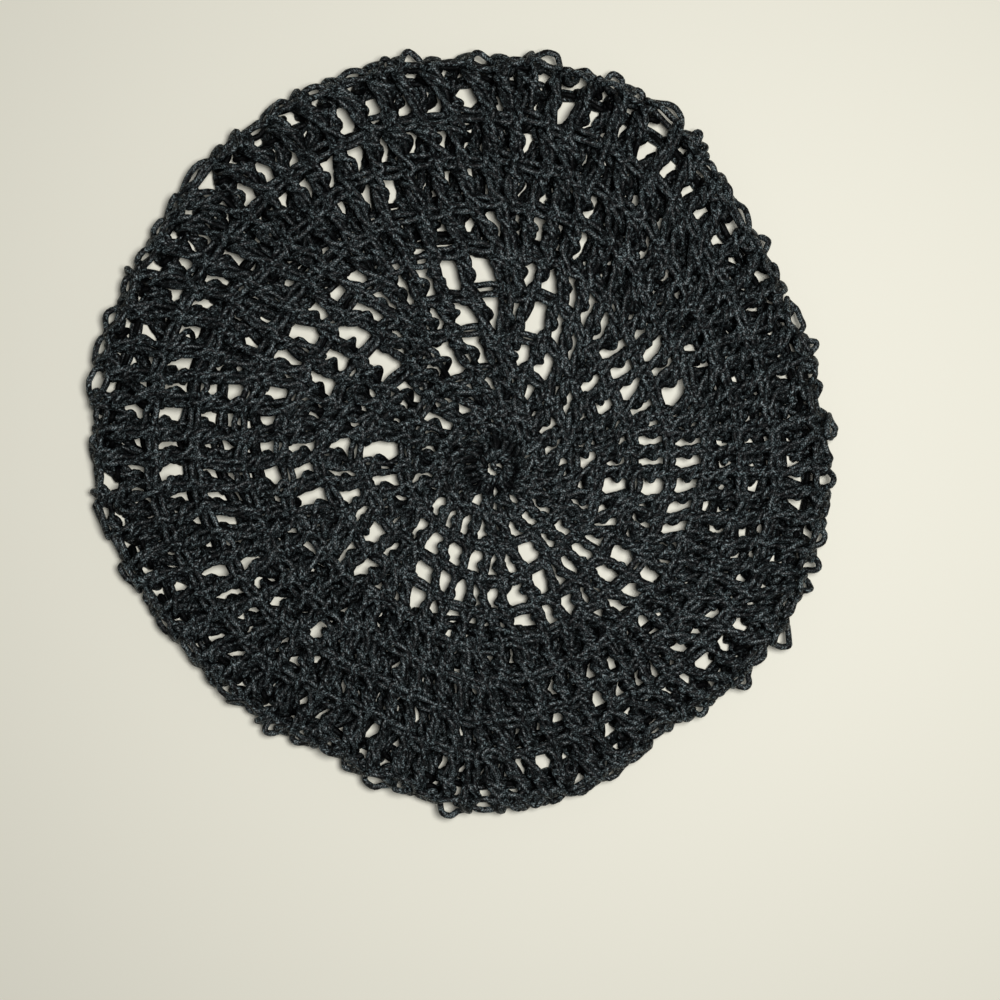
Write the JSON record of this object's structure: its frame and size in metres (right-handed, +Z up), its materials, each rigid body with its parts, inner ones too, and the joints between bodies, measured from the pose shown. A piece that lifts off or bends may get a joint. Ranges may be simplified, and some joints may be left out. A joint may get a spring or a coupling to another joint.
{
  "type": "crochet beret",
  "caption": "Openwork beret crocheted from thick cord, lying flat: a round crown with a spiral of gaps, a knobbly folded rim, and a turned-under return round an open head hole.",
  "frame": {"origin": "on the surface it lies on, under the middle of its outline", "axes": "+Z up through the crown, +Y towards the top of the picture, +X to its right"},
  "size_m": [0.278, 0.2837, 0.018],
  "materials": {
    "cord": "matt black braided cord, about 2.3 mm thick, with a faint sheen on its strands"
  },
  "bodies": {
    "root": {"centre_ring": "cord", "crown_round_1": "cord", "crown_round_2": "cord", "crown_round_3": "cord", "crown_round_4": "cord", "crown_round_5": "cord", "crown_round_6": "cord", "crown_round_7": "cord", "crown_round_8": "cord", "crown_round_9": "cord", "rim_round": "cord", "under_round_1": "cord", "under_round_2": "cord", "under_round_3": "cord", "band_round": "cord"}
  },
  "joints": []
}
